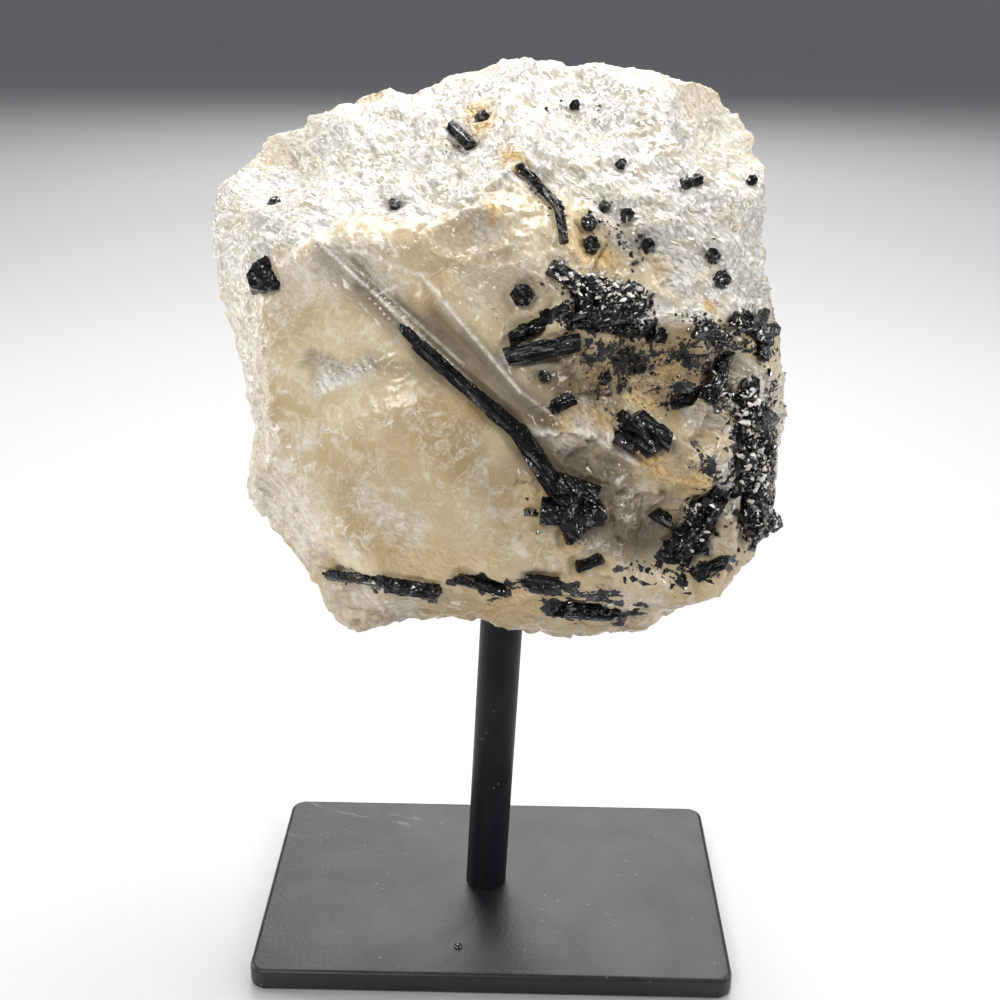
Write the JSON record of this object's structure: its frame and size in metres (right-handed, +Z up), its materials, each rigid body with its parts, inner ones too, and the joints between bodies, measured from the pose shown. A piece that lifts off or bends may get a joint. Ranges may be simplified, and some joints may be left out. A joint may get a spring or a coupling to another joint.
{
  "type": "tourmalinated quartz on a stand",
  "caption": "Rough block of milky to smoky quartz grown through with black tourmaline prisms, held by a leaning rod on a flat rectangular plate.",
  "frame": {"origin": "centre of the plate's underside, on the surface that it stands on", "axes": "+Z up, X along the plate's long side, -Y the way that the stone's front with the long dark crystal faces"},
  "size_m": [0.0993, 0.0726, 0.1636],
  "materials": {
    "quartz": "milky, partly clear broken quartz, glossy on its fractures",
    "tourmaline": "glossy black striated crystal",
    "stand_black": "satin black powder coat"
  },
  "bodies": {
    "root": {"crystal_back_bar": "tourmaline", "crystal_back_end": "tourmaline", "crystal_back_mass": "tourmaline", "crystal_back_thin": "tourmaline", "crystal_blob": "tourmaline", "crystal_bottom_dot": "tourmaline", "crystal_bottom_end": "tourmaline", "crystal_bottom_left": "tourmaline", "crystal_bottom_middle": "tourmaline", "crystal_bottom_right": "tourmaline", "crystal_bottom_thin": "tourmaline", "crystal_centre_bar": "tourmaline", "crystal_centre_mass": "tourmaline", "crystal_edge_mass": "tourmaline", "crystal_grain_1": "tourmaline", "crystal_grain_2": "tourmaline", "crystal_grain_3": "tourmaline", "crystal_grain_4": "tourmaline", "crystal_grain_5": "tourmaline", "crystal_grain_6": "tourmaline", "crystal_grain_7": "tourmaline", "crystal_hook": "tourmaline", "crystal_ledge_bar": "tourmaline", "crystal_left_end": "tourmaline", "crystal_left_tip": "tourmaline", "crystal_long": "tourmaline", "crystal_low_mass": "tourmaline", "crystal_recess_1": "tourmaline", "crystal_recess_2": "tourmaline", "crystal_recess_3": "tourmaline", "crystal_recess_4": "tourmaline", "crystal_recess_5": "tourmaline", "crystal_rhomb": "tourmaline", "crystal_right_mass": "tourmaline", "crystal_right_upper": "tourmaline", "crystal_ring_1": "tourmaline", "crystal_ring_2": "tourmaline", "crystal_ring_3": "tourmaline", "crystal_side_bar": "tourmaline", "crystal_side_end": "tourmaline", "crystal_side_mass": "tourmaline", "crystal_striated": "tourmaline", "crystal_top_bar": "tourmaline", "crystal_top_dot": "tourmaline", "crystal_top_end": "tourmaline", "crystal_upper_dot": "tourmaline", "crystal_vein": "tourmaline", "quartz": "quartz", "stand_base": "stand_black", "stand_rod": "stand_black"}
  },
  "joints": []
}
